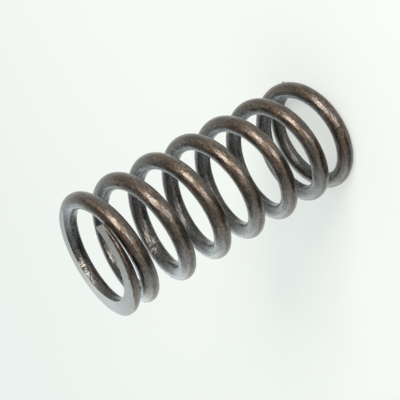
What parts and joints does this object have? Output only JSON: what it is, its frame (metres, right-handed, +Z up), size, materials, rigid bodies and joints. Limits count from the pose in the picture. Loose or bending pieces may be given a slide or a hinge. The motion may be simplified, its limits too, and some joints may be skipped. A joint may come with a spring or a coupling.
{
  "type": "clutch spring",
  "caption": "Helical compression spring in round wire, closed and ground flat at both ends, that presses a clutch's plates together.",
  "frame": {"origin": "on the coil's axis, in the plane of the lower ground end", "axes": "+Z up the coil's axis from the lower ground end to the upper one; the wire begins at the lower end on the +X side and winds right-handed"},
  "size_m": [0.018, 0.018, 0.0406],
  "materials": {
    "spring_steel": "oil-tempered spring wire, satin brown-grey, with brighter ground end faces"
  },
  "bodies": {
    "root": {"clutch_spring": "spring_steel"}
  },
  "joints": []
}
